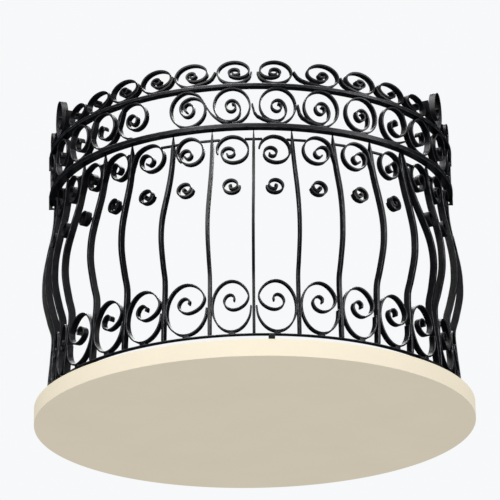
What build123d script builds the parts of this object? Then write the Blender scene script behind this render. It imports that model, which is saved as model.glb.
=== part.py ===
"""Wrought-iron railing of a small half-round balcony.

Origin: middle of the railing's box, at floor level. Z is up, the wall is at y = WALL
and the railing bulges towards -Y. Shapes are made about the centre of the half circle,
which lies on the wall: at the front, which is azimuth 0, and then turned about Z.
Negative azimuths are to the left of somebody who looks from the street.
"""

from build123d import *
import math
import os

# Driving dimensions, in millimetres and degrees
RAIL_RADIUS = 860
RAIL_WIDTH = 38
TOP_UNDERSIDE = 1103
TOP_THICKNESS = 15
SECOND_UNDERSIDE = 923
SECOND_THICKNESS = 20
BOTTOM_RADIUS = 867
BOTTOM_WIDTH = 24
BOTTOM_UNDERSIDE = 38
BOTTOM_THICKNESS = 5
BALUSTER_THICKNESS = 12
BALUSTER_DEPTH = 30
STRAP = 7
STRAP_DEPTH = 28
CONTACT = 0.05
TANGENT_GAP = 0.4
SIDE_GAP = 1.5
LINK_GAP = 0.8

# The wall's distance behind the middle of the railing's box
WALL = 444.5

# Outer face of a baluster between the rails: height and radius
BELLY = [
    (BOTTOM_UNDERSIDE + BOTTOM_THICKNESS + CONTACT, 868),
    (110, 864),
    (205, 855),
    (305, 850),
    (365, 866),
    (455, 886),
    (515, 889),
    (580, 885),
    (670, 869),
    (760, 850),
    (850, 841),
    (SECOND_UNDERSIDE - CONTACT, 846),
]

RAIL_MIDDLE = RAIL_RADIUS - RAIL_WIDTH / 2
TOP_FACE = TOP_UNDERSIDE + TOP_THICKNESS
SECOND_FACE = SECOND_UNDERSIDE + SECOND_THICKNESS
BOTTOM_FACE = BOTTOM_UNDERSIDE + BOTTOM_THICKNESS

# Balusters from left to right: azimuth at the foot, belly and shoulder and under the rail
BELLY_HEIGHT = 500
SHOULDER_HEIGHT = 700
BALUSTERS = [
    (-85, -85, -84.8, -84.5),
    (-78.5, -78, -77.5, -77),
    (-71.5, -70.5, -69.2, -67.5),
    (-64.9, -62.5, -59.4, -56.6),
    (-50.7, -49.7, -48, -46.6),
    (-38.2, -38, -37.1, -36.3),
    (-25.7, -25.5, -23.9, -22.9),
    (-12.7, -12.6, -12, -11.5),
    (-0.8, -0.5, -0.2, 0.1),
    (11.4, 11.8, 11.6, 10.75),
    (23.3, 23.8, 24, 22.8),
    (34.5, 36.7, 36.4, 34.9),
    (46.8, 48.5, 48.3, 46.9),
    (60.1, 57.2, 52.6, 47.95),
    (61.2, 62.6, 62.3, 60.5),
    (72.5, 73, 73, 72),
    (85, 85, 84.8, 84.5),
]
NARROW_BAY = 4

# A scroll is a strap bent into an oval that ends in a curl. Its stations are a quarter
# turn apart, clockwise, and give the strap's distance from the middle as a share of the
# oval's half width and half height.
OPEN_TURNS = [1, 1, 1, 0.9, 0.5, 0.36, 0.34, 0.3, 0.24, 0.12]
CLOSED_TURNS = [1, 1, 1, 1, 0.85, 0.42, 0.34, 0.34, 0.3, 0.2, 0.1]
SPIRAL_TURNS = [1, 1, 1, 1, 0.65, 0.44, 0.48, 0.42, 0.3, 0.2, 0.1]
CROZIER_TURNS = [1, 1, 1, 0.8, 0.42, 0.34, 0.33, 0.14]
FRONT_TURNS = [1, 1, 1, 0.56, 0.36, 0.3, 0.27, 0.1]
SMALL_TURNS = [1, 1, 1, 1, 0.68, 0.4, 0.25, 0.1]

# Inner strand and curl of an oval, as shares of its half width and half height
OVAL_CURL = [
    (0.88, 0.4), (0.73, 0.1), (0.4, -0.09), (0.05, -0.14), (-0.26, -0.03),
    (-0.39, 0.19), (-0.27, 0.39), (-0.04, 0.46), (0.14, 0.36), (0.12, 0.2),
]

# Cresting from the wall to the front: azimuth, half width and half height
CREST_LEAN = 10
CREST_LEFT = [
    (-81.5, 38, 38), (-71, 42, 80), (-59.6, 66, 43), (-49.1, 70, 44),
    (-38.5, 70, 48), (-27.7, 70, 51), (-17.1, 70, 51), (-5, 70, 51),
]
CREST_RIGHT = [
    (77.8, 38, 38), (67.5, 42, 80), (54.8, 66, 43), (43.3, 70, 44),
    (31.8, 70, 48), (20, 70, 51), (6.2, 70, 51),
]

# Scrolls between the two upper rails: azimuth, and the azimuth that the strap comes from
MIDDLE_HALF_WIDTH = 73
MIDDLE_HALF_HEIGHT = (TOP_UNDERSIDE - SECOND_FACE - STRAP) / 2 - TANGENT_GAP
MIDDLE_LEFT = [(-81.2, -69.2), (-69.2, -58), (-58, -47), (-47, -35.9), (-35.9, None)]
MIDDLE_CENTRE = [-18.2, -5.8]
MIDDLE_RIGHT = [(6.8, -5.8), (19.2, 6.8), (31.6, None), (43.8, None)]
MIDDLE_FAR_RIGHT = [(56.2, 43.8), (68.6, 56.2), (81.0, 68.6)]

# Croziers: azimuth and half width. Those in FRONT_BAYS have no strap beside a baluster:
# theirs starts so many degrees past the side of the ring.
CROZIER_CENTRE = 846
CROZIER_HALF_HEIGHT = 57
CROZIER_START = 785
CROZIERS_LEFT = [
    (-80.75, 42), (-72.8, 46), (-62.4, 46), (-51, 45), (-40.6, 48),
    (-29.7, 56), (-18, 57), (-5.9, 65), (5.85, 64),
]
CROZIERS_RIGHT = [(17.9, 57), (29.8, 56), (42.1, 50), (55.2, 50), (66.6, 48), (78.2, 48)]
FRONT_BAYS = {-80.75: 12, -18: 40, -5.9: 12, 5.85: -8}

# Small scrolls: azimuth and half width
SMALL_HALF_HEIGHT = 30
SMALL_CENTRE = 670
SMALL_LEFT = [
    (-81, 25), (-73.2, 25), (-64.3, 25), (-53.6, 25), (-41.2, 26),
    (-30.2, 31), (-18.8, 32), (-6.1, 33),
]
SMALL_RIGHT = [(5.5, 33), (17.6, 32), (30, 31), (41.8, 27), (58, 25), (67.2, 25), (79, 25)]
STEM = 4

OVAL_HALF_HEIGHT = 109
COLLAR_SIZE = (26, 24, 9)

LINK_HEIGHT = 884
LINK_REACH = 25
LINK_THICKNESS = 8
LINK_DEPTH = 14

FOOT_SIZE = (24, 30)
FOOT_AZIMUTHS = {"side_left": -58.3, "front": 3.9, "side_right": 50.6}

PLATE_SIZE = (40, 8, 62)
BOLT_HOLE = 11
BOLT_SPACING = 40
PLATE_HEIGHTS = {
    "top": TOP_UNDERSIDE + TOP_THICKNESS / 2,
    "middle": SECOND_UNDERSIDE + SECOND_THICKNESS / 2,
    "bottom": PLATE_SIZE[2] / 2,
}


def belly_radius(height):
    """Outer radius of the balusters at a height."""
    for (low, inner), (high, outer) in zip(BELLY, BELLY[1:]):
        if height <= high:
            share = (height - low) / (high - low)
            return inner + (outer - inner) * share
    return BELLY[-1][1]


def belly_lean(height, reach):
    """Inward lean of the balusters from reach under a height to reach over it, in degrees."""
    rise = belly_radius(height - reach) - belly_radius(height + reach)
    return math.degrees(math.atan2(rise, 2 * reach))


def bar_azimuth(bar, height):
    """Azimuth of a baluster at a height."""
    heights = (BOTTOM_FACE, BELLY_HEIGHT, SHOULDER_HEIGHT, SECOND_UNDERSIDE)
    spans = list(zip(heights, heights[1:], bar, bar[1:]))
    low, high, start, end = next((span for span in spans if height <= span[1]), spans[-1])
    return start + (end - start) * (height - low) / (high - low)


def bar_distance(bar, height, azimuth):
    """Distance along a strap from an azimuth to the near side of a baluster."""
    inner = belly_radius(height) - BALUSTER_DEPTH
    apart = math.radians(abs(bar_azimuth(bar, height) - azimuth))
    return inner * math.sin(apart) - BALUSTER_THICKNESS / 2


def upright(radius, height, lean=0):
    """Plane at the front: x to the right, y up, z outwards. Its top leans inwards by lean."""
    tilt = math.radians(lean)
    normal = (0, -math.cos(tilt), math.sin(tilt))
    return Plane(origin=(0, -radius, height), x_dir=(1, 0, 0), z_dir=normal)


def turned(shape, azimuth):
    """The shape, made at the front, at its azimuth."""
    return Rot(0, 0, azimuth) * shape


def mirrored(shape):
    """The shape's mirror image, left to right."""
    return mirror(shape, about=Plane.YZ)


def scroll_points(half_width, half_height, stations, start, curl_shift=(0, 0), lead=()):
    """Middle line of a clockwise scroll: the lead's points, then a point each 45 degrees."""
    points = list(lead)
    smallest = min(stations)
    for step in range(2 * len(stations) - 1):
        share = (stations[step // 2] + stations[(step + 1) // 2]) / 2
        angle = math.radians(start - 45 * step)
        shifted = (1 - share) / (1 - smallest)
        x = curl_shift[0] * shifted + half_width * share * math.cos(angle)
        y = curl_shift[1] * shifted + half_height * share * math.sin(angle)
        points.append((x, y))
    return points


def strap_face(points, thickness=STRAP):
    """Flat face of a strap whose middle line follows the points."""
    left = []
    right = []
    for i, (x, y) in enumerate(points):
        before = points[max(i - 1, 0)]
        after = points[min(i + 1, len(points) - 1)]
        across = Vector(before[1] - after[1], after[0] - before[0]).normalized() * thickness / 2
        left.append(Vector(x, y) + across)
        right.append(Vector(x, y) - across)
    return make_face(
        [
            Spline(*left),
            Line(left[-1], right[-1]),
            Spline(*reversed(right)),
            Line(right[0], left[0]),
        ]
    )


def strap(points, plane):
    """A bent strap in a plane."""
    return plane.location * extrude(strap_face(points), STRAP_DEPTH / 2, both=True)


def half_ring(radius, width, underside, thickness):
    """Flat bar bent to a half circle, from wall plate to wall plate."""
    disc = Circle(radius) - Circle(radius - width)
    front = Pos(0, -radius - PLATE_SIZE[1]) * Rectangle(4 * radius, 2 * radius)
    return Pos(0, 0, underside) * extrude(disc & front, thickness)


def section(bar, height):
    """Level section of a baluster."""
    wire = Rectangle(BALUSTER_THICKNESS, BALUSTER_DEPTH)
    middle = belly_radius(height) - BALUSTER_DEPTH / 2
    return turned(Pos(0, -middle, height) * wire, bar_azimuth(bar, height))


def link_reach(bar, crozier):
    """Length of the link from a baluster's middle to a crozier's strap."""
    azimuth, half_width = crozier
    rise = LINK_HEIGHT - LINK_THICKNESS / 2 - CROZIER_CENTRE
    beside = math.sqrt(1 - (rise / CROZIER_HALF_HEIGHT) ** 2)
    radius = belly_radius(LINK_HEIGHT) - BALUSTER_DEPTH / 2
    apart = radius * math.radians(abs(bar_azimuth(bar, LINK_HEIGHT) - azimuth))
    return apart - half_width * beside - STRAP / 2 / beside - LINK_GAP


def has_lead(crozier):
    """Whether a crozier's strap runs up beside a baluster."""
    return crozier[0] not in FRONT_BAYS


def link_reaches(index):
    """Lengths of a baluster's link to its left and to its right."""
    bar = BALUSTERS[index]
    top = bar[-1]
    tops = [other[-1] for other in BALUSTERS]
    low = tops[index - 1] if index else -90
    high = tops[index + 1] if index + 1 < len(tops) else 90
    left = [c for c in CROZIERS_LEFT + CROZIERS_RIGHT if low < c[0] < top]
    right = [c for c in CROZIERS_LEFT + CROZIERS_RIGHT if top < c[0] < high]
    left_reach = 0
    right_reach = 0
    if left and (left[0] in CROZIERS_LEFT or not has_lead(left[0])):
        left_reach = link_reach(bar, left[0])
    if right and (right[0] in CROZIERS_RIGHT or not has_lead(right[0])):
        right_reach = link_reach(bar, right[0])
    return left_reach, right_reach


def baluster(index):
    """Upright bar with the belly's outline, and the short link across its neck."""
    bar = BALUSTERS[index]
    made = loft([section(bar, height) for height, _ in BELLY])
    middle = belly_radius(LINK_HEIGHT) - BALUSTER_DEPTH / 2
    azimuth = bar_azimuth(bar, LINK_HEIGHT)
    for side, reach in zip((-1, 1), link_reaches(index)):
        if reach > BALUSTER_THICKNESS / 2:
            link = Box(reach, LINK_DEPTH, LINK_THICKNESS)
            made += turned(Pos(side * reach / 2, -middle, LINK_HEIGHT) * link, azimuth)
    return made


def chord(azimuth, neighbour, radius=RAIL_MIDDLE):
    """Straight distance between two places on the rail."""
    return 2 * radius * math.sin(math.radians(abs(neighbour - azimuth) / 2))


def crest(scroll, neighbour):
    """Leaning scroll on the top rail. Its strap starts at the side of the neighbour to the right."""
    azimuth, half_width, half_height = scroll
    if neighbour[0] > 0:
        points = scroll_points(half_width, half_height, CLOSED_TURNS, 0)
    else:
        reach = chord(azimuth, neighbour[0]) - neighbour[1] - STRAP - SIDE_GAP
        lead = [(reach, 0.12 * half_height), (0.75 * reach, -0.6 * half_height)]
        points = scroll_points(half_width, half_height, OPEN_TURNS, -90, (0, 0), lead)
    lean = CREST_LEAN if half_height < half_width else 0
    tilt = math.radians(lean)
    rise = half_height + STRAP / 2
    lowest = rise * math.cos(tilt) + STRAP_DEPTH / 2 * math.sin(tilt)
    radius = RAIL_MIDDLE - rise * math.sin(tilt)
    return strap(points, upright(radius, TOP_FACE + lowest + TANGENT_GAP, lean))


def crest_row(scrolls, last_neighbour):
    """One side's row of cresting scrolls, from the wall to the front, for the left side."""
    neighbours = scrolls[1:] + [last_neighbour]
    return [turned(crest(scroll, n), scroll[0]) for scroll, n in zip(scrolls, neighbours)]


def flipped_row(scrolls):
    """The scrolls with their azimuths counted to the other side."""
    return [(-azimuth, half_width, half_height) for azimuth, half_width, half_height in scrolls]


def middle_scroll(lead, start=-90):
    """Scroll that fills the height between the two upper rails."""
    points = scroll_points(
        MIDDLE_HALF_WIDTH, MIDDLE_HALF_HEIGHT, CLOSED_TURNS, start, (0, 0), lead
    )
    return strap(points, upright(RAIL_MIDDLE, (SECOND_FACE + TOP_UNDERSIDE) / 2))


def descending(azimuth, neighbour):
    """Middle scroll whose strap comes down from beside the top of its neighbour, if it has one."""
    if neighbour is None:
        return middle_scroll([])
    reach = chord(azimuth, neighbour)
    lead = [
        (0.72 * reach, 0.9 * MIDDLE_HALF_HEIGHT),
        (0.6 * reach, 0.1 * MIDDLE_HALF_HEIGHT),
        (0.45 * reach, -0.6 * MIDDLE_HALF_HEIGHT),
        (0.24 * reach, -0.92 * MIDDLE_HALF_HEIGHT),
    ]
    return middle_scroll(lead)


def sideways(azimuth, neighbour):
    """Middle scroll whose strap starts beside its neighbour, if it has one."""
    if neighbour is None:
        return middle_scroll([])
    reach = chord(azimuth, neighbour) - MIDDLE_HALF_WIDTH - STRAP - SIDE_GAP
    lead = [(reach, 0.1 * MIDDLE_HALF_HEIGHT), (0.8 * reach, -0.6 * MIDDLE_HALF_HEIGHT)]
    return middle_scroll(lead)


def s_scroll():
    """The two scrolls left of the front, made of one strap."""
    left, right = MIDDLE_CENTRE
    reach = chord(left, right)
    rising = [(0.9 * reach, 0.95 * MIDDLE_HALF_HEIGHT), (0.5 * reach, 0)]
    turned_left = scroll_points(
        MIDDLE_HALF_WIDTH, MIDDLE_HALF_HEIGHT, SPIRAL_TURNS, -90, (0, 0), rising
    )
    plane = upright(RAIL_MIDDLE, (SECOND_FACE + TOP_UNDERSIDE) / 2)
    flipped = [(x, -y) for x, y in turned_left]
    return [turned(strap(flipped, plane), left), turned(mirrored(middle_scroll([])), right)]


def crozier(scroll, side):
    """Curled head under the second rail: clockwise if side is 1, and mirrored if it is -1."""
    azimuth, half_width = scroll
    half_height = CROZIER_HALF_HEIGHT
    if has_lead(scroll):
        tops = [bar for bar in BALUSTERS if (azimuth - bar[-1]) * side > 0]
        bar = tops[-1] if side > 0 else tops[0]
        lead = []
        for height in (CROZIER_START, 812, 834):
            reach = bar_distance(bar, height, azimuth) - STRAP / 2 - SIDE_GAP
            lead.append((-reach, height - CROZIER_CENTRE))
        extra = max(reach - half_width, 0)
        lead.append((-0.86 * half_width - 0.75 * extra, 0.5 * half_height))
        lead.append((-0.5 * half_width - 0.42 * extra, 0.87 * half_height))
        turns = CROZIER_TURNS
    else:
        sweep = 90 + FRONT_BAYS[azimuth]
        lead = []
        for share in (1, 0.75, 0.5, 0.25):
            angle = math.radians(90 + sweep * share)
            lead.append((half_width * math.cos(angle), half_height * math.sin(angle)))
        turns = FRONT_TURNS
    points = scroll_points(half_width, half_height, turns, 90, (-14, -17), lead)
    if side < 0:
        points = [(-x, y) for x, y in points]
    radius = belly_radius(CROZIER_CENTRE) - BALUSTER_DEPTH / 2
    plane = upright(radius, CROZIER_CENTRE, belly_lean(CROZIER_CENTRE, half_height))
    return turned(strap(points, plane), azimuth)


def small_scroll(scroll, side):
    """Small scroll in the middle of a bay, hung from the crozier by a thin stem."""
    azimuth, half_width = scroll
    points = scroll_points(half_width, SMALL_HALF_HEIGHT, SMALL_TURNS, 0)
    if side < 0:
        points = [(-x, y) for x, y in points]
    radius = belly_radius(SMALL_CENTRE) - BALUSTER_DEPTH / 2
    lean = belly_lean(SMALL_CENTRE, SMALL_HALF_HEIGHT)
    curl = strap(points, upright(radius, SMALL_CENTRE, lean))
    heads = CROZIERS_LEFT + CROZIERS_RIGHT
    head = min(heads, key=lambda other: abs(other[0] - azimuth))
    aside = radius * math.radians(abs(head[0] - azimuth)) / head[1]
    drop = math.sqrt(1 - aside**2)
    low = SMALL_CENTRE + 0.93 * SMALL_HALF_HEIGHT
    high = CROZIER_CENTRE - CROZIER_HALF_HEIGHT * drop - STRAP / 2 / drop - TANGENT_GAP - 3 * aside
    middle = (low + high) / 2
    stem_lean = belly_lean(middle, (high - low) / 2)
    plane = upright(belly_radius(middle) - BALUSTER_DEPTH / 2, middle, stem_lean)
    rod = Rot(90, 0, 0) * Cylinder(STEM / 2, high - low)
    return turned(curl + plane.location * rod, azimuth)


def oval_place(left, right):
    """Azimuth and half width of the oval between two balusters."""
    base = BOTTOM_FACE + COLLAR_SIZE[2]
    middle = base + OVAL_HALF_HEIGHT
    azimuth = (bar_azimuth(left, middle) + bar_azimuth(right, middle)) / 2
    heights = (middle - OVAL_HALF_HEIGHT / 2, middle, middle + OVAL_HALF_HEIGHT / 2)
    free = [bar_distance(bar, height, azimuth) for bar in (left, right) for height in heights]
    return azimuth, min(free) - STRAP / 2 - SIDE_GAP


def oval_points(half_width):
    """Middle line of an oval: once round from the right, then the curl, lower if narrow."""
    points = []
    for step in range(15):
        turn = math.radians(-22.5 * step)
        points.append((half_width * math.cos(turn), OVAL_HALF_HEIGHT * math.sin(turn)))
    squeeze = min(half_width / 65, 1)
    for x, y in OVAL_CURL:
        level = 0.17 + (y - 0.17) * squeeze
        points.append((half_width * x, OVAL_HALF_HEIGHT * level))
    return points


def oval(azimuth, half_width, side):
    """Tall oval scroll that stands on the bottom rail between two balusters."""
    base = BOTTOM_FACE + COLLAR_SIZE[2] + TANGENT_GAP
    middle = base + OVAL_HALF_HEIGHT + STRAP / 2
    radius = belly_radius(middle) - BALUSTER_DEPTH / 2
    lean = belly_lean(middle, OVAL_HALF_HEIGHT)
    lifted = STRAP_DEPTH / 2 * math.sin(math.radians(lean))
    points = oval_points(half_width)
    if side < 0:
        points = [(-x, y) for x, y in points]
    return turned(strap(points, upright(radius, middle + lifted, lean)), azimuth)


def collar():
    """Small block under a bottom scroll."""
    wide, deep, high = COLLAR_SIZE
    radius = belly_radius(BOTTOM_FACE) - BALUSTER_DEPTH / 2
    return Pos(0, -radius, BOTTOM_FACE + high / 2 + CONTACT) * Box(wide, deep, high)


def foot():
    """Square foot between the floor and the bottom rail."""
    wide, deep = FOOT_SIZE
    high = BOTTOM_UNDERSIDE - CONTACT
    return Pos(0, -BOTTOM_RADIUS + BOTTOM_WIDTH / 2, high / 2) * Box(wide, deep, high)


def wall_plate(side, height):
    """Upright plate at a rail's end, flat against the wall, with two bolt holes."""
    wide, thick, high = PLATE_SIZE
    plate = Box(wide, thick - CONTACT, high)
    for end in (-1, 1):
        hole = Rot(90, 0, 0) * Cylinder(BOLT_HOLE / 2, 2 * thick)
        plate -= Pos(0, 0, end * BOLT_SPACING / 2) * hole
    return Pos(side * RAIL_MIDDLE, (CONTACT - thick) / 2, height) * plate


def save(name, pieces):
    """Writes one sub-part from one solid or from a list of them."""
    if isinstance(pieces, list):
        pieces = Compound(children=pieces)
    export_step(Pos(0, WALL, 0) * pieces, f"parts/{name}.step")


def save_rails():
    """The three curved rails."""
    save("top_rail", half_ring(RAIL_RADIUS, RAIL_WIDTH, TOP_UNDERSIDE, TOP_THICKNESS))
    save("second_rail", half_ring(RAIL_RADIUS, RAIL_WIDTH, SECOND_UNDERSIDE, SECOND_THICKNESS))
    save("bottom_rail", half_ring(BOTTOM_RADIUS, BOTTOM_WIDTH, BOTTOM_UNDERSIDE, BOTTOM_THICKNESS))


def save_balusters():
    """One node for each baluster, numbered from the left."""
    for i in range(len(BALUSTERS)):
        save(f"baluster_{i + 1:02d}", baluster(i))


def save_bays():
    """What hangs or stands between the balusters."""
    save("croziers_left", [crozier(scroll, 1) for scroll in CROZIERS_LEFT])
    save("croziers_right", [crozier(scroll, -1) for scroll in CROZIERS_RIGHT])
    save("small_scrolls_left", [small_scroll(scroll, 1) for scroll in SMALL_LEFT])
    save("small_scrolls_right", [small_scroll(scroll, -1) for scroll in SMALL_RIGHT])
    pairs = zip(BALUSTERS, BALUSTERS[1:])
    bays = [(a, b) for a, b in pairs if b[0] - a[0] > NARROW_BAY]
    places = [oval_place(left, right) for left, right in bays]
    left = [(a, w) for a, w in places if a < 0]
    right = [(a, w) for a, w in places if a > 0]
    save("bottom_scrolls_left", [oval(a, w, -1 if -60 < a < -55 else 1) for a, w in left])
    save("bottom_scrolls_right", [oval(a, w, -1 if a < 10 else 1) for a, w in right])
    block = collar()
    save("bottom_collars", [turned(block, a) for a, w in places])


def save_upper_scrolls():
    """The cresting and the scrolls between the two upper rails."""
    save("cresting_left", crest_row(CREST_LEFT, CREST_RIGHT[-1]))
    right = crest_row(flipped_row(CREST_RIGHT), flipped_row(CREST_LEFT)[-1])
    save("cresting_right", [mirrored(piece) for piece in right])
    save("middle_scrolls_left", [turned(descending(a, n), a) for a, n in MIDDLE_LEFT])
    save("middle_scrolls_centre", s_scroll())
    right = [turned(mirrored(sideways(a, n)), a) for a, n in MIDDLE_RIGHT]
    right += [turned(mirrored(descending(a, n)), a) for a, n in MIDDLE_FAR_RIGHT]
    save("middle_scrolls_right", right)


def save_fixings():
    """Feet on the floor and plates on the wall."""
    block = foot()
    for name, azimuth in FOOT_AZIMUTHS.items():
        save(f"foot_{name}", turned(block, azimuth))
    for name, height in PLATE_HEIGHTS.items():
        save(f"wall_plate_{name}_left", wall_plate(-1, height))
        save(f"wall_plate_{name}_right", wall_plate(1, height))


def main():
    os.makedirs("parts", exist_ok=True)
    save_rails()
    save_balusters()
    save_bays()
    save_upper_scrolls()
    save_fixings()


if __name__ == "__main__":
    main()
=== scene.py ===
"""Half-round balcony railing of black wrought iron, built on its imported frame."""

import math

import bmesh
import bpy
from bpy.props import FloatProperty, FloatVectorProperty, PointerProperty
from mathutils import Matrix, Vector


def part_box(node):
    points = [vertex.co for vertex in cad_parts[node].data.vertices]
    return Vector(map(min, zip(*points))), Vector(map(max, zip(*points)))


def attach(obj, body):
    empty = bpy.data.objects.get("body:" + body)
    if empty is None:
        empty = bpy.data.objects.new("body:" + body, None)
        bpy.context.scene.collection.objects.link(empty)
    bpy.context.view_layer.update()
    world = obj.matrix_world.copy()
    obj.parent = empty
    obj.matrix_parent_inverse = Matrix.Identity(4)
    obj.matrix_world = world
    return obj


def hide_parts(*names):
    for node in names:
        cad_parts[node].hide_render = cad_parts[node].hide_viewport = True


bl_info = {
    "name": "Half-round balcony railing",
    "version": (1, 0, 0),
    "blender": (4, 5, 0),
    "location": "3D View > Sidebar > Railing",
    "description": "Builds a bellied wrought-iron balcony railing with scrolls",
    "category": "Add Mesh",
}

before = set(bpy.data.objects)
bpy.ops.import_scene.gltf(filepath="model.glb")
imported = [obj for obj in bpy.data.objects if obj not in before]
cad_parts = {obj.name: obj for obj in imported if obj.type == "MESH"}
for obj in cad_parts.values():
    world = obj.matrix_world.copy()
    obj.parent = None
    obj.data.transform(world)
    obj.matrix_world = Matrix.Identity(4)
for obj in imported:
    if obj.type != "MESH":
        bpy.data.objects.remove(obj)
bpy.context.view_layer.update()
MM = 0.001
BODY = "root"

# Places read from the frame. The rails bend round an upright axis in the plane of the back
TOP_LOW, TOP_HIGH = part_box("top_rail")
SECOND_LOW, SECOND_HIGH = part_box("second_rail")
BOTTOM_LOW, BOTTOM_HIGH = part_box("bottom_rail")
BALUSTER_LOW, BALUSTER_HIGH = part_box("baluster_09")
BACK_Y = round(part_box("wall_plate_top_left")[1].y, 4)
RAIL_END_Y = TOP_HIGH.y
RAIL_RADIUS = BACK_Y - TOP_LOW.y
BOTTOM_RADIUS = BACK_Y - BOTTOM_LOW.y
BELLY_RADIUS = BACK_Y - BALUSTER_LOW.y
TOP_UNDERSIDE, TOP_FACE = TOP_LOW.z, TOP_HIGH.z
SECOND_UNDERSIDE, SECOND_FACE = SECOND_LOW.z, SECOND_HIGH.z
BOTTOM_UNDERSIDE, BOTTOM_FACE = BOTTOM_LOW.z, BOTTOM_HIGH.z

# Layout, in degrees of azimuth: 0 is the front, negative is left as seen from outside.
# Balusters from left to right: azimuth at the foot, belly and shoulder and under the rail
BALUSTERS = [
    (-85, -85, -84.8, -84.5),
    (-78.5, -78, -77.5, -77),
    (-71.5, -70.5, -69.2, -67.5),
    (-64.9, -62.5, -59.4, -56.6),
    (-50.7, -49.7, -48, -46.6),
    (-38.2, -38, -37.1, -36.3),
    (-25.7, -25.5, -23.9, -22.9),
    (-12.7, -12.6, -12, -11.5),
    (-0.8, -0.5, -0.2, 0.1),
    (11.4, 11.8, 11.6, 10.75),
    (23.3, 23.8, 24, 22.8),
    (34.5, 36.7, 36.4, 34.9),
    (46.8, 48.5, 48.3, 46.9),
    (60.1, 57.2, 52.6, 47.95),
    (61.2, 62.6, 62.3, 60.5),
    (72.5, 73, 73, 72),
    (85, 85, 84.8, 84.5),
]
BELLY_HEIGHT = 500 * MM
SHOULDER_HEIGHT = 700 * MM

# Outer face of a baluster, in millimetres: height, and how far it lies inside the belly's
# widest place. All of it is drawn inward by the inset
BELLY = [
    (39, 21), (110, 25), (205, 34), (305, 39), (365, 23), (455, 3),
    (515, 0), (580, 4), (670, 20), (760, 39), (850, 48), (923, 43),
]
BELLY_INSET = 0.1

# Cresting from the back to the front: azimuth, half width and half height in millimetres
CREST_LEFT = [
    (-81.5, 38, 38), (-71, 42, 80), (-59.6, 66, 43), (-49.1, 70, 44),
    (-38.5, 70, 48), (-27.7, 70, 51), (-17.1, 70, 51), (-5, 70, 51),
]
CREST_RIGHT = [
    (77.8, 38, 38), (67.5, 42, 80), (54.8, 66, 43), (43.3, 70, 44),
    (31.8, 70, 48), (20, 70, 51), (6.2, 70, 51),
]

# Croziers and small scrolls: azimuth and half width in millimetres
CROZIERS_LEFT = [
    (-80.75, 42), (-72.8, 46), (-62.4, 46), (-51, 45), (-40.6, 48),
    (-29.7, 56), (-18, 57), (-5.9, 65), (5.85, 64),
]
CROZIERS_RIGHT = [(17.9, 57), (29.8, 56), (42.1, 50), (55.2, 50), (66.6, 48), (78.2, 48)]
SMALL_LEFT = [
    (-81, 25), (-73.2, 25), (-64.3, 25), (-53.6, 25), (-41.2, 26),
    (-30.2, 31), (-18.8, 32), (-6.1, 33),
]
SMALL_RIGHT = [(5.5, 33), (17.6, 32), (30, 31), (41.8, 27), (58, 25), (67.2, 25), (79, 25)]

# Croziers whose strap begins freely: azimuth, and how many degrees past the ring's side
FREE_CROZIERS = {-80.75: 12, -18: 40, -5.9: 12, 5.85: -8}

# Middle scrolls: azimuth, and the azimuth of the neighbour that the strap comes from
MIDDLE_LEFT = [(-81.2, -69.2), (-69.2, -57.4), (-57.4, -46.3), (-46.3, -35.3), (-35.3, None)]
MIDDLE_CENTRE = [-18.2, -5.8]
MIDDLE_RIGHT = [(6.8, -5.8), (19.2, 6.8), (31.6, None)]
MIDDLE_TURNED = 43.8
MIDDLE_FAR_RIGHT = [(55.6, 43.8), (68.6, 56.2), (81.0, 68.6)]

# Feet: azimuth of each node
FEET = {"foot_side_left": -58.3, "foot_front": 3.9, "foot_side_right": 50.6}

# Distance of a scroll's strap from its middle at quarter turns, as a share of its half size.
# Side scrolls have a smaller curl
OPEN_TURNS = [1, 1, 1, 0.9, 0.5, 0.36, 0.34, 0.3, 0.24, 0.12]
CLOSED_TURNS = [1, 1, 1, 1, 0.85, 0.42, 0.34, 0.34, 0.3, 0.2, 0.1]
SPIRAL_TURNS = [1, 1, 1, 1, 0.6, 0.42, 0.4, 0.34, 0.34, 0.18, 0.1]
CROZIER_TURNS = [1, 1, 1, 0.9, 0.42, 0.32, 0.24, 0.1]
SIDE_CROZIER_TURNS = [1, 1, 1, 0.92, 0.4, 0.3, 0.14]
SIDE_MIDDLE_TURNS = [1, 1, 1, 0.9, 0.48, 0.32, 0.26, 0.12]
CREST_TURNS = [1, 1, 1, 0.92, 0.48, 0.3, 0.28, 0.24, 0.18, 0.08]
SIDE_CREST_TURNS = [1, 1, 1, 0.95, 0.45, 0.2, 0.16]
FREE_TURNS = [1, 1, 1, 0.56, 0.36, 0.3, 0.27, 0.1]
SMALL_TURNS = [1, 1, 1, 1, 0.68, 0.4, 0.25, 0.1]
QUARTER_POINTS = 3

# Way of a strap before it joins its scroll's ring, as shares of a reach and the half height.
# The gap is what a strap keeps from the ring of its neighbour
CREST_LEAD = [(1, 0.12), (0.75, -0.6)]
SIDEWAYS_LEAD = [(1, 0.1), (0.8, -0.6)]
TURNED_LEAD = [(0.85, -0.7)]
DESCENDING_LEAD = [(0.72, 0.9), (0.6, 0.1), (0.45, -0.6), (0.24, -0.92)]
CENTRE_LEAD = [
    (0.92, 0.96), (0.75, 0.82), (0.57, 0.45), (0.46, 0.08), (0.37, -0.33), (0.25, -0.75),
]
LEAD_GAP = 8.5 * MM

# Inner strand and curl of an oval, as shares of its half width and half height
OVAL_CURL = [
    (0.88, 0.4), (0.73, 0.1), (0.4, -0.09), (0.05, -0.14), (-0.26, -0.03),
    (-0.39, 0.19), (-0.27, 0.39), (-0.04, 0.46), (0.14, 0.36), (0.12, 0.2),
]

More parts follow.
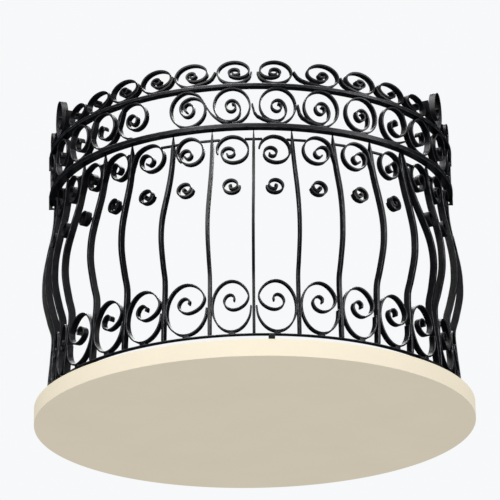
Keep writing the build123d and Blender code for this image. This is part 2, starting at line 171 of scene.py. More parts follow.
# The photograph's camera, fitted to the outlines of the three rails: metres, radians and a
# lens in millimetres
CAMERA_PLACE = (-0.2443, BACK_Y - 14.15, TOP_UNDERSIDE - 5.589)
CAMERA_YAW = 0.0167
CAMERA_PITCH = 0.3519
CAMERA_ROLL = -0.0175
CAMERA_LENS = 255.8
SENSOR_WIDTH = 36

# Soft lamps: place and size in metres, and power in watts
LAMPS = {
    "sky": ((-0.6, -1.4, 4.6), 4.0, 250),
    "key": ((-2.2, -4.8, 2.8), 2.4, 80),
    "fill": ((4.2, -2.2, 2.6), 1.8, 70),
    "behind": ((0.5, 3.2, 3.4), 2.4, 140),
}
LAMP_AIM = (0, 0, 0.6)

# Dim light all around, and the plate that the railing stands on
SKY_COLOUR = (0.75, 0.85, 1)
SKY_STRENGTH = 0.035
FLOOR_RADIUS = 0.92
FLOOR_THICKNESS = 0.07
FLOOR_CLOUDS = (0.62, 0.58, 0.5)
FLOOR_GLOW = 0.7

# Edges sharper than this are rounded
SHARP = math.radians(50)


class RailingSizes(bpy.types.PropertyGroup):
    """Sizes of the bars and scrolls."""

    rail_width: FloatProperty(
        name="Rail width", description="Width of the two upper rails",
        default=38 * MM, unit="LENGTH",
    )
    bottom_width: FloatProperty(
        name="Bottom rail width", description="Width of the flat bottom rail",
        default=24 * MM, unit="LENGTH",
    )
    strap: FloatProperty(
        name="Strap thickness", description="Thickness of the scrolls' straps",
        default=7 * MM, unit="LENGTH",
    )
    strap_depth: FloatProperty(
        name="Strap width", description="Width of the scrolls' straps",
        default=28 * MM, unit="LENGTH",
    )
    baluster: FloatProperty(
        name="Baluster thickness", description="Thickness of a baluster along the rail",
        default=12 * MM, unit="LENGTH",
    )
    baluster_depth: FloatProperty(
        name="Baluster depth", description="Depth of a baluster from front to back",
        default=30 * MM, unit="LENGTH",
    )
    edge: FloatProperty(
        name="Edge rounding", description="Width of the rounded edges of bars and straps",
        default=1.7 * MM, unit="LENGTH",
    )
    crest_lean: FloatProperty(
        name="Cresting lean", description="Inward lean of the cresting",
        default=math.radians(10), subtype="ANGLE",
    )


class RailingColours(bpy.types.PropertyGroup):
    """Colours of the paint and of the studio."""

    paint: FloatVectorProperty(
        name="Paint", description="Black satin paint", subtype="COLOR",
        size=3, default=(0.005, 0.005, 0.0065),
    )
    faded: FloatVectorProperty(
        name="Faded paint", description="Paint greyed by sun and rain", subtype="COLOR",
        size=3, default=(0.016, 0.016, 0.02),
    )
    # Worn edge colour: a painted highlight, pale grey that the rounded edges carry so that they
    # glint
    edge: FloatVectorProperty(
        name="Worn edge", description="Paint rubbed thin along the edges", subtype="COLOR",
        size=3, default=(0.22, 0.225, 0.245),
    )
    dust: FloatVectorProperty(
        name="Dust", description="Dust on faces that look up", subtype="COLOR",
        size=3, default=(0.06, 0.056, 0.05),
    )
    floor: FloatVectorProperty(
        name="Floor", description="Pale plate that the railing stands on", subtype="COLOR",
        size=3, default=(0.82, 0.74, 0.58),
    )
    backdrop: FloatVectorProperty(
        name="Backdrop", description="Pale light all around", subtype="COLOR",
        size=3, default=(0.93, 0.94, 0.95),
    )


class Level:
    """A number that varies over a surface. Arithmetic on it adds Math nodes."""

    def __init__(self, nodes, socket):
        self.nodes = nodes
        self.socket = socket

    def calculated(self, operation, first, second):
        """The result of a Math node."""
        node = self.nodes.node("ShaderNodeMath", {"operation": operation}, {0: first, 1: second})
        return Level(self.nodes, node.outputs[0])

    def __add__(self, other):
        return self.calculated("ADD", self, other)

    def __sub__(self, other):
        return self.calculated("SUBTRACT", self, other)

    def __rsub__(self, other):
        return self.calculated("SUBTRACT", other, self)

    def __mul__(self, other):
        return self.calculated("MULTIPLY", self, other)

    __radd__ = __add__
    __rmul__ = __mul__


class Nodes:
    """The empty node tree of a material or a world, and the way that nodes are added to it."""

    def __init__(self, owner):
        owner.use_nodes = True
        self.tree = owner.node_tree
        self.tree.nodes.clear()

    def node(self, kind, settings=None, values=None):
        """Adds a node, makes its settings, then fills or links its sockets."""
        made = self.tree.nodes.new(kind)
        for key, setting in (settings or {}).items():
            if key == "stops":
                self.set_stops(made.color_ramp, setting)
            else:
                setattr(made, key, setting)
        for key, value in (values or {}).items():
            self.fill(made.inputs[key], value)
        return made

    def set_stops(self, ramp, stops):
        """Gives a colour ramp its two stops: position and grey level."""
        for element, (position, grey) in zip(ramp.elements, stops):
            element.position = position
            element.color = (grey, grey, grey, 1)

    def fill(self, socket, value):
        """Links a socket or sets its value."""
        if isinstance(value, Level):
            value = value.socket
        if isinstance(value, bpy.types.NodeSocket):
            self.tree.links.new(value, socket)
        elif socket.type == "RGBA":
            socket.default_value = (*value, 1)
        else:
            socket.default_value = value


class Finish(Nodes):
    """A material and the nodes that make it up."""

    # A Mix node has sockets for each kind of value: these are the colours'
    mix_colours = (6, 7)
    mix_result = 2

    def __init__(self, name):
        self.material = bpy.data.materials.new(name)
        super().__init__(self.material)
        self.shader = self.node("ShaderNodeBsdfPrincipled")
        self.node("ShaderNodeOutputMaterial", {}, {"Surface": self.shader.outputs[0]})
        self.place = self.node("ShaderNodeTexCoord").outputs["Object"]

    def give(self, socket, value):
        """Links or sets a socket of the material's shader."""
        self.fill(self.shader.inputs[socket], value)

    def noise(self, scale, detail, roughness=0.55):
        """Cloudy pattern fixed to the object, from 0 to 1."""
        values = {"Vector": self.place, "Scale": scale, "Detail": detail, "Roughness": roughness}
        return Level(self, self.node("ShaderNodeTexNoise", {}, values).outputs["Fac"])

    def ramped(self, level, stops):
        """The level passed through a grey ramp."""
        node = self.node("ShaderNodeValToRGB", {"stops": stops}, {"Fac": level})
        return Level(self, node.outputs["Color"])

    def mixed(self, share, first, second):
        """Mixes two colours."""
        values = {"Factor": share, **dict(zip(self.mix_colours, (first, second)))}
        return self.node("ShaderNodeMix", {"data_type": "RGBA"}, values).outputs[self.mix_result]

    def facing_up(self):
        """1 on faces that look up, 0 on the others."""
        normal = self.node("ShaderNodeNewGeometry").outputs["Normal"]
        height = Level(self, self.node("ShaderNodeSeparateXYZ", {}, {0: normal}).outputs["Z"])
        return self.ramped(height, [(0.55, 0), (0.95, 1)])

    def relief(self, level, distance, strength):
        """Bump from a level, in metres, on the shader's normal."""
        values = {"Height": level, "Distance": distance, "Strength": strength}
        self.give("Normal", self.node("ShaderNodeBump", {}, values).outputs[0])


def iron_paint(colours):
    """Black satin paint on forged bar: brushed on, a little faded, dusty on top."""
    finish = Finish("iron_paint")
    broad = finish.noise(7, 3)
    fine = finish.noise(55, 5)
    grain = finish.noise(420, 2)
    hammered = finish.noise(34, 1, 0.3)
    faded = finish.ramped(broad * 0.6 + fine * 0.4, [(0.42, 0), (0.68, 1)])
    colour = finish.mixed(faded, colours.paint, colours.faded)
    dusty = finish.facing_up() * finish.ramped(fine, [(0.35, 0.15), (0.7, 0.6)])
    colour = finish.mixed(dusty, colour, colours.dust)
    finish.give("Base Color", colour)
    finish.give("Roughness", 0.34 + faded * 0.12 + fine * 0.1 + dusty * 0.3)
    finish.relief(hammered * 0.8 + fine * 0.25 + grain * 0.06, 1.2 * MM, 0.5)
    return finish.material


def edge_highlight_paint(colours):
    """The same paint made pale and partly metallic along a bar's rounded edges: a painted
    highlight.
    """
    finish = Finish("edge_highlight_paint")
    patchy = finish.ramped(finish.noise(30, 5), [(0.4, 0.1), (0.62, 1)])
    # The pale edge colour is a painted highlight, patchy along the edge
    colour = finish.mixed(patchy, colours.faded, colours.edge)
    finish.give("Base Color", colour)
    finish.give("Roughness", 0.36 - patchy * 0.08)
    finish.give("Metallic", patchy * 0.35)
    finish.relief(finish.noise(180, 3), 0.4 * MM, 0.4)
    return finish.material


def floor_paint(colours):
    """Plain pale floor with a faint grain."""
    finish = Finish("pale_floor")
    cloud = finish.noise(4, 4)
    shade = finish.ramped(cloud, [(0.3, 0), (0.7, 0.12)])
    colour = finish.mixed(shade, colours.floor, FLOOR_CLOUDS)
    finish.give("Base Color", colour)
    finish.give("Emission Color", colour)
    finish.give("Emission Strength", FLOOR_GLOW)
    finish.give("Roughness", 0.8 + cloud * 0.1)
    return finish.material


def paints():
    """The two paints of every bar, made once: the black paint and the painted highlight for its
    edges.
    """
    colours = bpy.context.scene.railing_colours
    found = bpy.data.materials.get("iron_paint")
    if found is None:
        return [iron_paint(colours), edge_highlight_paint(colours)]
    return [found, bpy.data.materials["edge_highlight_paint"]]


def through(points, at):
    """Smooth value at a place, through points of place and value in rising order."""
    last = len(points) - 1
    i = 0
    while i < last - 1 and at > points[i + 1][0]:
        i += 1
    (low, start), (high, end) = points[i], points[i + 1]
    span = high - low

    def slope(j):
        before, after = points[max(j - 1, 0)], points[min(j + 1, last)]
        return (after[1] - before[1]) / (after[0] - before[0])

    t = min(max((at - low) / span, 0), 1)
    rest = 1 - t
    return (
        start * rest * rest * (1 + 2 * t)
        + end * t * t * (3 - 2 * t)
        + span * t * rest * (slope(i) * rest - slope(i + 1) * t)
    )


def belly_face(height):
    """Radius of the balusters' outer face at a height."""
    return BELLY_RADIUS - (through(BELLY, height / MM) + BELLY_INSET) * MM


def bar_middle(height):
    """Radius of the balusters' middle line at a height."""
    return belly_face(height) - bpy.context.scene.railing_sizes.baluster_depth / 2


def bar_azimuth(bar, height):
    """Azimuth of a baluster at a height, in radians."""
    heights = (BOTTOM_FACE, BELLY_HEIGHT, SHOULDER_HEIGHT, SECOND_UNDERSIDE)
    return math.radians(through(list(zip(heights, bar)), height))


def bar_distance(bar, height, azimuth):
    """Distance along the drum from an azimuth to the near side of a baluster."""
    apart = abs(bar_azimuth(bar, height) - math.radians(azimuth))
    return apart * rail_middle() - bpy.context.scene.railing_sizes.baluster / 2


def scaled(shares, reach, high):
    """Points from shares of a reach along the rail and of a height."""
    return [(x * reach, y * high) for x, y in shares]


def flipped_row(scrolls):
    """The scrolls with their azimuths counted to the other side."""
    return [(-azimuth, half_width, half_height) for azimuth, half_width, half_height in scrolls]


def smooth_line(points, parts=3):
    """Points of a smooth line through the given points."""
    line = []
    ends = [2 * points[0] - points[1], *points, 2 * points[-1] - points[-2]]
    for before, start, end, after in zip(ends, ends[1:], ends[2:], ends[3:]):
        for part in range(parts):
            t = part / parts
            line.append(
                start * (1 - t) ** 2 * (1 + 2 * t)
                + end * t * t * (3 - 2 * t)
                + (end - before) * (0.5 * t * (1 - t) ** 2)
                - (after - start) * (0.5 * t * t * (1 - t))
            )
    line.append(points[-1])
    return line


def scroll_line(half_width, half_height, turns, start, curl_shift=(0, 0), lead=()):
    """Middle line of a clockwise scroll, in metres, flat: x along the rail and y up.

    It starts at an angle in degrees, and its middle is shifted as the curl closes.
    """
    stations = list(enumerate(turns))
    smallest = min(turns)
    points = [Vector(point) for point in lead]
    for step in range(QUARTER_POINTS * (len(turns) - 1) + 1):
        share = through(stations, step / QUARTER_POINTS)
        angle = math.radians(start - 90 * step / QUARTER_POINTS)
        shifted = (1 - share) / (1 - smallest)
        x = curl_shift[0] * shifted + half_width * share * math.cos(angle)
        y = curl_shift[1] * shifted + half_height * share * math.sin(angle)
        points.append(Vector((x, y)))
    return smooth_line(points)


def ribbon(mesh, line, depth):
    """Adds a ribbon to a bmesh: the line's points, extruded through the strap's depth."""
    points = [mesh.verts.new((x, y, -depth / 2)) for x, y in line]
    edges = [mesh.edges.new(pair) for pair in zip(points, points[1:])]
    made = bmesh.ops.extrude_edge_only(mesh, edges=edges)["geom"]
    moved = [item for item in made if isinstance(item, bmesh.types.BMVert)]
    bmesh.ops.translate(mesh, verts=moved, vec=(0, 0, depth))
    return points + moved


def on_drum(azimuth, radius, height, mirrored=False):
    """Bends flat work round the railing: radius is a rule of height, or a number."""
    around = -rail_middle() if mirrored else rail_middle()

    def place(point):
        level = height + point.y
        face = radius(level) if callable(radius) else radius
        angle = math.radians(azimuth) + point.x / around
        reach = face + point.z
        return Vector((reach * math.sin(angle), BACK_Y - reach * math.cos(angle), level))

    return place


def finished(name, mesh, nodes, thickness=0):
    """Makes the piece from the bmesh, gives it edges and paint, and sets it on its body."""
    sizes = bpy.context.scene.railing_sizes
    data = bpy.data.meshes.new(name)
    bmesh.ops.recalc_face_normals(mesh, faces=mesh.faces)
    for face in mesh.faces:
        face.smooth = True
    mesh.to_mesh(data)
    mesh.free()
    piece = bpy.data.objects.new(name, data)
    bpy.context.scene.collection.objects.link(piece)
    for paint in paints():
        data.materials.append(paint)
    if thickness:
        shell = piece.modifiers.new("thickness", "SOLIDIFY")
        shell.thickness = thickness
        shell.offset = 0
        shell.use_even_offset = True
    bevel = piece.modifiers.new("edges", "BEVEL")
    bevel.width = sizes.edge
    bevel.segments = 2
    bevel.limit_method = "ANGLE"
    bevel.angle_limit = SHARP
    # The rounded edges take the second paint, a painted highlight
    bevel.material = 1
    piece.modifiers.new("shading", "WEIGHTED_NORMAL").keep_sharp = False
    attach(piece, BODY)
    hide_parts(*nodes)
    return piece


def straps(node, scrolls):
    """A node's piece from many straps: each is its flat line and the rule that places it."""
    sizes = bpy.context.scene.railing_sizes
    mesh = bmesh.new()
    for line, place in scrolls:
        for point in ribbon(mesh, line, sizes.strap_depth):
            point.co = place(point.co)
    finished(f"{node}_iron", mesh, [node], sizes.strap)


def blocks(node, places, size):
    """A node's piece from small blocks, each at an azimuth, a radius and a middle height."""
    mesh = bmesh.new()
    for azimuth, radius, height in places:
        made = bmesh.ops.create_cube(mesh, size=1)["verts"]
        bmesh.ops.scale(mesh, verts=made, vec=size)
        bmesh.ops.translate(mesh, verts=made, vec=(0, -radius, height))
        turn = Matrix.Rotation(math.radians(azimuth), 3, "Z")
        bmesh.ops.rotate(mesh, verts=made, matrix=turn)
        bmesh.ops.translate(mesh, verts=made, vec=(0, BACK_Y, 0))
    finished(f"{node}_iron", mesh, [node])


def rail_middle():
    """Radius of the middle line of the two upper rails."""
    return RAIL_RADIUS - bpy.context.scene.railing_sizes.rail_width / 2


def chord(azimuth, neighbour):
    """Distance along the rail between two azimuths."""
    return math.radians(abs(neighbour - azimuth)) * rail_middle()


class RAILING_OT_rails(bpy.types.Operator):
    """Builds the three curved rails"""

    bl_idname = "railing.rails"
    bl_label = "Rails"

    steps = 120
    # Rounding of the edges, where the rail is thick enough for it
    widest_edge = 3 * MM

    def execute(self, context):
        sizes = context.scene.railing_sizes
        self.bar("top_rail", RAIL_RADIUS, sizes.rail_width, TOP_UNDERSIDE, TOP_FACE)
        self.bar("second_rail", RAIL_RADIUS, sizes.rail_width, SECOND_UNDERSIDE, SECOND_FACE)
        self.bar("bottom_rail", BOTTOM_RADIUS, sizes.bottom_width, BOTTOM_UNDERSIDE, BOTTOM_FACE)
        return {"FINISHED"}

    def bar(self, node, radius, width, low, high):
        """A flat section spun from one plate at the back to the other."""
        mesh = bmesh.new()
        section = bmesh.ops.create_grid(mesh, x_segments=1, y_segments=1, size=0.5)["verts"]
        bmesh.ops.scale(mesh, verts=section, vec=(width, high - low, 1))
        upright = Matrix.Rotation(math.radians(90), 3, "X")
        bmesh.ops.rotate(mesh, verts=section, matrix=upright)
        middle = (width / 2 - radius, BACK_Y, (low + high) / 2)
        bmesh.ops.translate(mesh, verts=section, vec=middle)
        axis = (0, BACK_Y, 0)
        short = math.asin((BACK_Y - RAIL_END_Y) / radius)
        turn = Matrix.Rotation(short, 3, "Z")
        bmesh.ops.rotate(mesh, verts=section, cent=axis, matrix=turn)
        bmesh.ops.spin(
            mesh, geom=mesh.verts[:] + mesh.edges[:] + mesh.faces[:], cent=axis,
            axis=(0, 0, 1), angle=math.pi - 2 * short, steps=self.steps,
        )
        bmesh.ops.remove_doubles(mesh, verts=mesh.verts, dist=MM / 100)
        piece = finished(f"{node}_iron", mesh, [node])
        piece.modifiers["edges"].width = min(self.widest_edge, (high - low) / 3)


class RAILING_OT_balusters(bpy.types.Operator):
    """Builds the bellied balusters with their short links"""

    bl_idname = "railing.balusters"
    bl_label = "Balusters"

    steps = 60
    # Share of the bar's full section at a height: the head tapers
    head_taper = [(0, 1), (860 * MM, 1), (885 * MM, 0.75), (BALUSTER_HIGH.z, 0.3)]
    link_height = 884 * MM
    link_half_height = 4 * MM
    link_half_depth = 7 * MM
    # Where a crozier's strap is met, as a share of its half width, and how far short of it
    link_end = 0.74
    link_short = 3 * MM

    def execute(self, context):
        for index in range(len(BALUSTERS)):
            self.baluster(index)
        return {"FINISHED"}

    def baluster(self, index):
        """A bar along the belly's outline, with a tapered head and a short link."""
        sizes = bpy.context.scene.railing_sizes
        bar = BALUSTERS[index]
        low, high = BALUSTER_LOW.z, BALUSTER_HIGH.z
        heights = [low + (high - low) * step / self.steps for step in range(self.steps + 1)]
        line = [Vector((bar_middle(height), height)) for height in heights]
        mesh = bmesh.new()
        ribbon(mesh, line, sizes.baluster)
        depths = mesh.verts.layers.deform.verify()
        for point in mesh.verts:
            radius, height, across = point.co
            taper = through(self.head_taper, height)
            point[depths][0] = taper
            point.co = self.on_bar(bar, across * taper, radius, height)
        name = f"baluster_{index + 1:02d}"
        piece = finished(f"{name}_iron", mesh, [name], sizes.baluster_depth)
        piece.modifiers["thickness"].vertex_group = piece.vertex_groups.new(name="depth").name
        reaches = self.link_reaches(index)
        if max(reaches) > 0:
            self.link(f"{name}_link", bar, reaches)

    def on_bar(self, bar, across, radius, height):
        """Place beside a bar's middle at a height."""
        turn = Matrix.Rotation(bar_azimuth(bar, height), 3, "Z")
        return turn @ Vector((across, -radius, height)) + Vector((0, BACK_Y, 0))

    def link(self, name, bar, reaches):
        """Thin bar across the baluster's neck, from crozier to crozier."""
        left, right = reaches
        middle = bar_middle(self.link_height)
        mesh = bmesh.new()
        made = bmesh.ops.create_cube(mesh, size=2)
        for point in made["verts"]:
            across = right if point.co.x > 0 else -left
            radius = middle + point.co.y * self.link_half_depth
            turned = self.on_bar(bar, across, radius, self.link_height)
            turned.z += point.co.z * self.link_half_height
            point.co = turned
        finished(name, mesh, [])

    def link_reaches(self, index):
        """Lengths of a baluster's link to its left and to its right."""
        before, top, after = [-90, *(bar[-1] for bar in BALUSTERS), 90][index:index + 3]
        free = [head for head in CROZIERS_LEFT if head[0] in FREE_CROZIERS]
        left = [head for head in CROZIERS_LEFT if before < head[0] < top]
        right = [head for head in free + CROZIERS_RIGHT if top < head[0] < after]
        bar = BALUSTERS[index]
        return [self.link_reach(bar, heads[0]) if heads else 0 for heads in (left, right)]

    def link_reach(self, bar, head):
        """Length of the link from a baluster's middle to a crozier's strap."""
        azimuth, half_width = head
        thick = bpy.context.scene.railing_sizes.baluster
        reach = bar_distance(bar, self.link_height, azimuth) + thick / 2
        return reach - self.link_end * half_width * MM - self.link_short


class RAILING_OT_cresting(bpy.types.Operator):
    """Builds the leaning scrolls on the top rail"""

    bl_idname = "railing.cresting"
    bl_label = "Cresting"

    # Beyond this azimuth a scroll's curl is small
    side = 42

    def execute(self, context):
        self.row("cresting_left", CREST_LEFT, CREST_RIGHT[-1], False)
        self.row("cresting_right", flipped_row(CREST_RIGHT), flipped_row(CREST_LEFT)[-1], True)
        return {"FINISHED"}

    def row(self, node, crests, last, mirrored):
        """One side's scrolls, from the back to the front. Only those wider than high lean."""
        sizes = bpy.context.scene.railing_sizes
        lean = math.tan(sizes.crest_lean)
        scrolls = []
        for crest, neighbour in zip(crests, crests[1:] + [last]):
            azimuth, half_width, half_height = crest
            middle = TOP_FACE + half_height * MM + sizes.strap / 2
            if mirrored:
                azimuth = -azimuth
            slope = lean if half_height < half_width else 0
            radius = lambda level, slope=slope: rail_middle() - (level - TOP_FACE) * slope
            place = on_drum(azimuth, radius, middle, mirrored)
            scrolls.append((self.line(crest, neighbour), place))
        straps(node, scrolls)

    def line(self, crest, neighbour):
        """A scroll whose strap starts at the neighbour's side. The one at the front is closed."""
        azimuth, half_width, half_height = crest
        wide, high = half_width * MM, half_height * MM
        if neighbour[0] > 0:
            return scroll_line(wide, high, CLOSED_TURNS, 0)
        reach = chord(azimuth, neighbour[0]) - neighbour[1] * MM - LEAD_GAP
        turns = SIDE_CREST_TURNS if azimuth < -self.side else CREST_TURNS
        return scroll_line(wide, high, turns, -90, lead=scaled(CREST_LEAD, reach, high))


class RAILING_OT_middle_scrolls(bpy.types.Operator):
    """Builds the large scrolls between the two upper rails"""

    bl_idname = "railing.middle_scrolls"
    bl_label = "Middle scrolls"

    half_width = 73 * MM

    def execute(self, context):
        sizes = context.scene.railing_sizes
        self.half_height = (TOP_UNDERSIDE - SECOND_FACE - sizes.strap) / 2
        straps("middle_scrolls_left", [self.descending(*pair) for pair in MIDDLE_LEFT])
        straps("middle_scrolls_centre", self.joined_pair())
        right = [self.sideways(*pair) for pair in MIDDLE_RIGHT]
        right.append(self.turned())
        right += [self.descending(*pair) for pair in MIDDLE_FAR_RIGHT]
        straps("middle_scrolls_right", right)
        return {"FINISHED"}

    def placed(self, azimuth, lead, mirrored, turns=CLOSED_TURNS, flipped=False):
        """A full scroll at its azimuth, behind its lead."""
        line = scroll_line(self.half_width, self.half_height, turns, -90, lead=lead)
        if flipped:
            line = [Vector((x, -y)) for x, y in line]
        height = (SECOND_FACE + TOP_UNDERSIDE) / 2
        return line, on_drum(azimuth, rail_middle(), height, mirrored)

    def descending(self, azimuth, neighbour):
        """Its strap comes down from beside the top of the neighbour, if it has one."""
        if neighbour is None:
            return self.placed(azimuth, [], azimuth > 0, OPEN_TURNS)
        lead = scaled(DESCENDING_LEAD, chord(azimuth, neighbour), self.half_height)
        return self.placed(azimuth, lead, azimuth > 0, SIDE_MIDDLE_TURNS)

    def sideways(self, azimuth, neighbour):
        """Its strap starts beside the neighbour, if it has one."""
        if neighbour is None:
            return self.placed(azimuth, [], True)
        reach = chord(azimuth, neighbour) - self.half_width - LEAD_GAP
        return self.placed(azimuth, scaled(SIDEWAYS_LEAD, reach, self.half_height), True)

    def turned(self):
        """The scroll on the right that turns the other way."""
        lead = scaled(TURNED_LEAD, self.half_width, self.half_height)
        return self.placed(MIDDLE_TURNED, lead, False, SIDE_MIDDLE_TURNS)

    def joined_pair(self):
        """Two scrolls left of the front, and the strap that joins them."""
        left, right = MIDDLE_CENTRE
        lead = scaled(CENTRE_LEAD, chord(left, right), self.half_height)
        return [self.placed(left, lead, False, SPIRAL_TURNS, True), self.placed(right, [], True)]


class RAILING_OT_croziers(bpy.types.Operator):
    """Builds the curled heads under the second rail"""

    bl_idname = "railing.croziers"
    bl_label = "Croziers"

    centre = 846 * MM
    half_height = 57 * MM
    # How far the curl's middle lies from the ring's
    curl_shift = (-14 * MM, -17 * MM)
    # How far the rings are lowered, in front of this azimuth and elsewhere
    front = 10
    front_drop = 8 * MM
    drop = 2 * MM
    # Beyond this azimuth a ring's curl is small
    side = 36
    # The strap beside its baluster: height, and how far it lies inside the baluster's near side
    stem = [(775, 9), (800, 4), (822, 0), (836, -3)]
    # Its bend into the ring: shares of the half width, of what the stem lies outside it, and
    # of the half height
    bend = [(0.86, 0.75, 0.5), (0.5, 0.42, 0.87)]

    def execute(self, context):
        straps("croziers_left", [self.crozier(head, False) for head in CROZIERS_LEFT])
        straps("croziers_right", [self.crozier(head, True) for head in CROZIERS_RIGHT])
        return {"FINISHED"}

    def crozier(self, head, mirrored):
        """A strap that rises beside its baluster, or begins freely, and curls over."""
        azimuth, half_width = head
        wide = half_width * MM
        if azimuth in FREE_CROZIERS:
            lead = self.free_lead(azimuth, wide)
            turns = FREE_TURNS
        else:
            lead = self.bound_lead(azimuth, wide, mirrored)
            turns = SIDE_CROZIER_TURNS if abs(azimuth) > self.side else CROZIER_TURNS
        line = scroll_line(wide, self.half_height, turns, 90, self.curl_shift, lead)
        height = self.centre - (self.front_drop if abs(azimuth) < self.front else self.drop)
        return line, on_drum(azimuth, bar_middle, height, mirrored)

    def free_lead(self, azimuth, wide):
        """The ring's own outline, from past its side up to its top."""
        sweep = math.radians(90 + FREE_CROZIERS[azimuth])
        angles = [math.pi / 2 + sweep * share for share in (1, 0.75, 0.5, 0.25)]
        return [(wide * math.cos(angle), self.half_height * math.sin(angle)) for angle in angles]

    def bound_lead(self, azimuth, wide, mirrored):
        """The strap beside the baluster on the outer side, and its bend into the ring."""
        outer = [bar for bar in BALUSTERS if (bar[-1] > azimuth) == mirrored]
        bar = min(outer, key=lambda bar: abs(bar[-1] - azimuth))
        points = []
        for height, inside in self.stem:
            reach = bar_distance(bar, height * MM, azimuth) + inside * MM
            points.append((-reach, height * MM - self.centre))
        extra = max(reach - wide, 0)
        for across, outside, up in self.bend:
            points.append((-across * wide - outside * extra, up * self.half_height))
        return points


class RAILING_OT_small_scrolls(bpy.types.Operator):
    """Builds the small scrolls in the bays"""

    bl_idname = "railing.small_scrolls"
    bl_label = "Small scrolls"

    centre = 670 * MM
    half_height = 30 * MM

    def execute(self, context):
        self.row("small_scrolls_left", SMALL_LEFT, False)
        self.row("small_scrolls_right", SMALL_RIGHT, True)
        return {"FINISHED"}

    def row(self, node, curls, mirrored):
        """The scrolls of one side."""
        scrolls = []
        for azimuth, half_width in curls:
            line = scroll_line(half_width * MM, self.half_height, SMALL_TURNS, 0)
            scrolls.append((line, on_drum(azimuth, bar_middle, self.centre, mirrored)))
        straps(node, scrolls)


class RAILING_OT_bottom_scrolls(bpy.types.Operator):
    """Builds the tall ovals on the bottom rail"""

    bl_idname = "railing.bottom_scrolls"
    bl_label = "Bottom scrolls"

    half_height = 109 * MM
    collar = (26 * MM, 24 * MM, 9 * MM)
    # A bay no wider than this at the feet, in degrees, has no oval
    narrow_bay = 4
    side_gap = 1 * MM
    # Azimuths between which an oval turns the other way
    mirrored_bays = [(0, 10), (-60, -55)]
    # Points of the ring, and the curl's middle, which a narrow oval's curl is drawn towards
    ring_points = 15
    ring_step = 22.5
    curl_middle = 0.17
    full_width = 65 * MM

    def execute(self, context):
        pairs = zip(BALUSTERS, BALUSTERS[1:])
        ovals = [self.oval(*pair) for pair in pairs if pair[1][0] - pair[0][0] > self.narrow_bay]
        straps("bottom_scrolls_left", [oval[1:] for oval in ovals if oval[0] < 0])
        straps("bottom_scrolls_right", [oval[1:] for oval in ovals if oval[0] > 0])
        height = BOTTOM_FACE + self.collar[2] / 2
        places = [(oval[0], bar_middle(BOTTOM_FACE), height) for oval in ovals]
        blocks("bottom_collars", places, self.collar)
        return {"FINISHED"}

    def oval(self, left, right):
        """An oval as wide as its bay: its azimuth, its line and its place."""
        strap = bpy.context.scene.railing_sizes.strap
        height = BOTTOM_FACE + self.collar[2] + self.half_height + strap / 2
        azimuth = math.degrees(bar_azimuth(left, height) + bar_azimuth(right, height)) / 2
        half_width = bar_distance(left, height, azimuth) - strap / 2 - self.side_gap
        mirrored = any(low < azimuth < high for low, high in self.mirrored_bays)
        place = on_drum(azimuth, bar_middle, height, mirrored)
        return azimuth, self.line(half_width, self.half_height), place

    def line(self, wide, high):
        """Once round from the right, then the inner strand and the curl, lower if narrow."""
        angles = [math.radians(-self.ring_step * step) for step in range(self.ring_points)]
        points = [Vector((wide * math.cos(turn), high * math.sin(turn))) for turn in angles]
        squeeze = min(wide / self.full_width, 1)
        for x, y in OVAL_CURL:
            drawn = self.curl_middle + (y - self.curl_middle) * squeeze
            points.append(Vector((wide * x, high * drawn)))
        return smooth_line(points, parts=5)


class RAILING_OT_feet(bpy.types.Operator):
    """Builds the three small feet under the bottom rail"""

    bl_idname = "railing.feet"
    bl_label = "Feet"

    size = (24 * MM, 30 * MM, BOTTOM_UNDERSIDE)

    def execute(self, context):
        radius = BOTTOM_RADIUS - context.scene.railing_sizes.bottom_width / 2
        for node, azimuth in FEET.items():
            blocks(node, [(azimuth, radius, BOTTOM_UNDERSIDE / 2)], self.size)
        return {"FINISHED"}


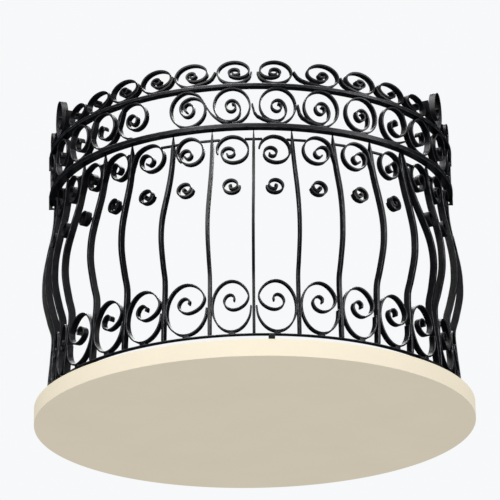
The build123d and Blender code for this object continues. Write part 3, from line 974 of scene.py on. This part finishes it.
class RAILING_OT_stage(bpy.types.Operator):
    """Sets the pale floor, the soft light and the camera"""

    bl_idname = "railing.stage"
    bl_label = "Stage"

    def execute(self, context):
        self.floor()
        self.lights()
        self.camera()
        return {"FINISHED"}

    def floor(self):
        """Round pale plate, a little wider than the railing."""
        mesh = bmesh.new()
        bmesh.ops.create_cone(
            mesh, cap_ends=True, segments=160,
            radius1=FLOOR_RADIUS, radius2=FLOOR_RADIUS, depth=FLOOR_THICKNESS,
        )
        bmesh.ops.translate(mesh, verts=mesh.verts, vec=(0, BACK_Y, -FLOOR_THICKNESS / 2))
        data = bpy.data.meshes.new("floor")
        mesh.to_mesh(data)
        mesh.free()
        floor = bpy.data.objects.new("floor", data)
        data.materials.append(floor_paint(bpy.context.scene.railing_colours))
        bpy.context.scene.collection.objects.link(floor)
        floor.visible_diffuse = False
        floor.visible_glossy = False

    def lights(self):
        """A pale backdrop for the camera, dim light all around and soft lamps from above."""
        scene = bpy.context.scene
        scene.world = bpy.data.worlds.new("studio")
        scene.view_settings.view_transform = "Standard"
        studio = Nodes(scene.world)
        background = "ShaderNodeBackground"
        dim = studio.node(background, {}, {"Color": SKY_COLOUR, "Strength": SKY_STRENGTH})
        pale = studio.node(background, {}, {"Color": scene.railing_colours.backdrop})
        seen = studio.node("ShaderNodeLightPath").outputs["Is Camera Ray"]
        values = {0: seen, 1: dim.outputs[0], 2: pale.outputs[0]}
        either = studio.node("ShaderNodeMixShader", {}, values)
        studio.node("ShaderNodeOutputWorld", {}, {"Surface": either.outputs[0]})
        for name, lamp in LAMPS.items():
            self.lamp(name, *lamp)

    def lamp(self, name, place, size, power):
        """An area light turned to the railing's middle."""
        light = bpy.data.lights.new(name, "AREA")
        light.size = size
        light.energy = power
        lamp = bpy.data.objects.new(name, light)
        lamp.location = place
        towards = Vector(LAMP_AIM) - Vector(place)
        lamp.rotation_mode = "QUATERNION"
        lamp.rotation_quaternion = towards.to_track_quat("-Z", "Y")
        bpy.context.scene.collection.objects.link(lamp)

    def camera(self):
        """The photograph's camera: far below, looking up, with a long lens."""
        data = bpy.data.cameras.new("camera")
        data.lens = CAMERA_LENS
        data.sensor_width = SENSOR_WIDTH
        data.clip_end = 100
        camera = bpy.data.objects.new("camera", data)
        bpy.context.scene.collection.objects.link(camera)
        turn = (
            Matrix.Rotation(-CAMERA_YAW, 4, "Z")
            @ Matrix.Rotation(math.pi / 2 + CAMERA_PITCH, 4, "X")
            @ Matrix.Rotation(CAMERA_ROLL, 4, "Z")
        )
        camera.matrix_world = Matrix.Translation(CAMERA_PLACE) @ turn
        bpy.context.scene.camera = camera


PIECES = (
    RAILING_OT_rails,
    RAILING_OT_balusters,
    RAILING_OT_cresting,
    RAILING_OT_middle_scrolls,
    RAILING_OT_croziers,
    RAILING_OT_small_scrolls,
    RAILING_OT_bottom_scrolls,
    RAILING_OT_feet,
    RAILING_OT_stage,
)


class RAILING_PT_panel(bpy.types.Panel):
    """Lists the railing's pieces in the sidebar"""

    bl_label = "Railing"
    bl_idname = "RAILING_PT_panel"
    bl_space_type = "VIEW_3D"
    bl_region_type = "UI"
    bl_category = "Railing"

    def draw(self, context):
        for piece in PIECES:
            self.layout.operator(piece.bl_idname)
        for group in (context.scene.railing_sizes, context.scene.railing_colours):
            for key in group.__annotations__:
                self.layout.prop(group, key)


CLASSES = (RailingSizes, RailingColours, *PIECES, RAILING_PT_panel)


def register():
    for item in CLASSES:
        bpy.utils.register_class(item)
    bpy.types.Scene.railing_sizes = PointerProperty(type=RailingSizes)
    bpy.types.Scene.railing_colours = PointerProperty(type=RailingColours)


def unregister():
    del bpy.types.Scene.railing_colours
    del bpy.types.Scene.railing_sizes
    for item in reversed(CLASSES):
        bpy.utils.unregister_class(item)


def paint_frame():
    """Gives the CAD nodes that still show the railing's paint."""
    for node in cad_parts.values():
        if not node.hide_render:
            node.data.materials.clear()
            node.data.materials.append(paints()[0])


def main():
    """Builds the railing and its stage."""
    register()
    for piece in PIECES:
        group, name = piece.bl_idname.split(".")
        getattr(getattr(bpy.ops, group), name)()
    paint_frame()


if __name__ == "__main__":
    main()
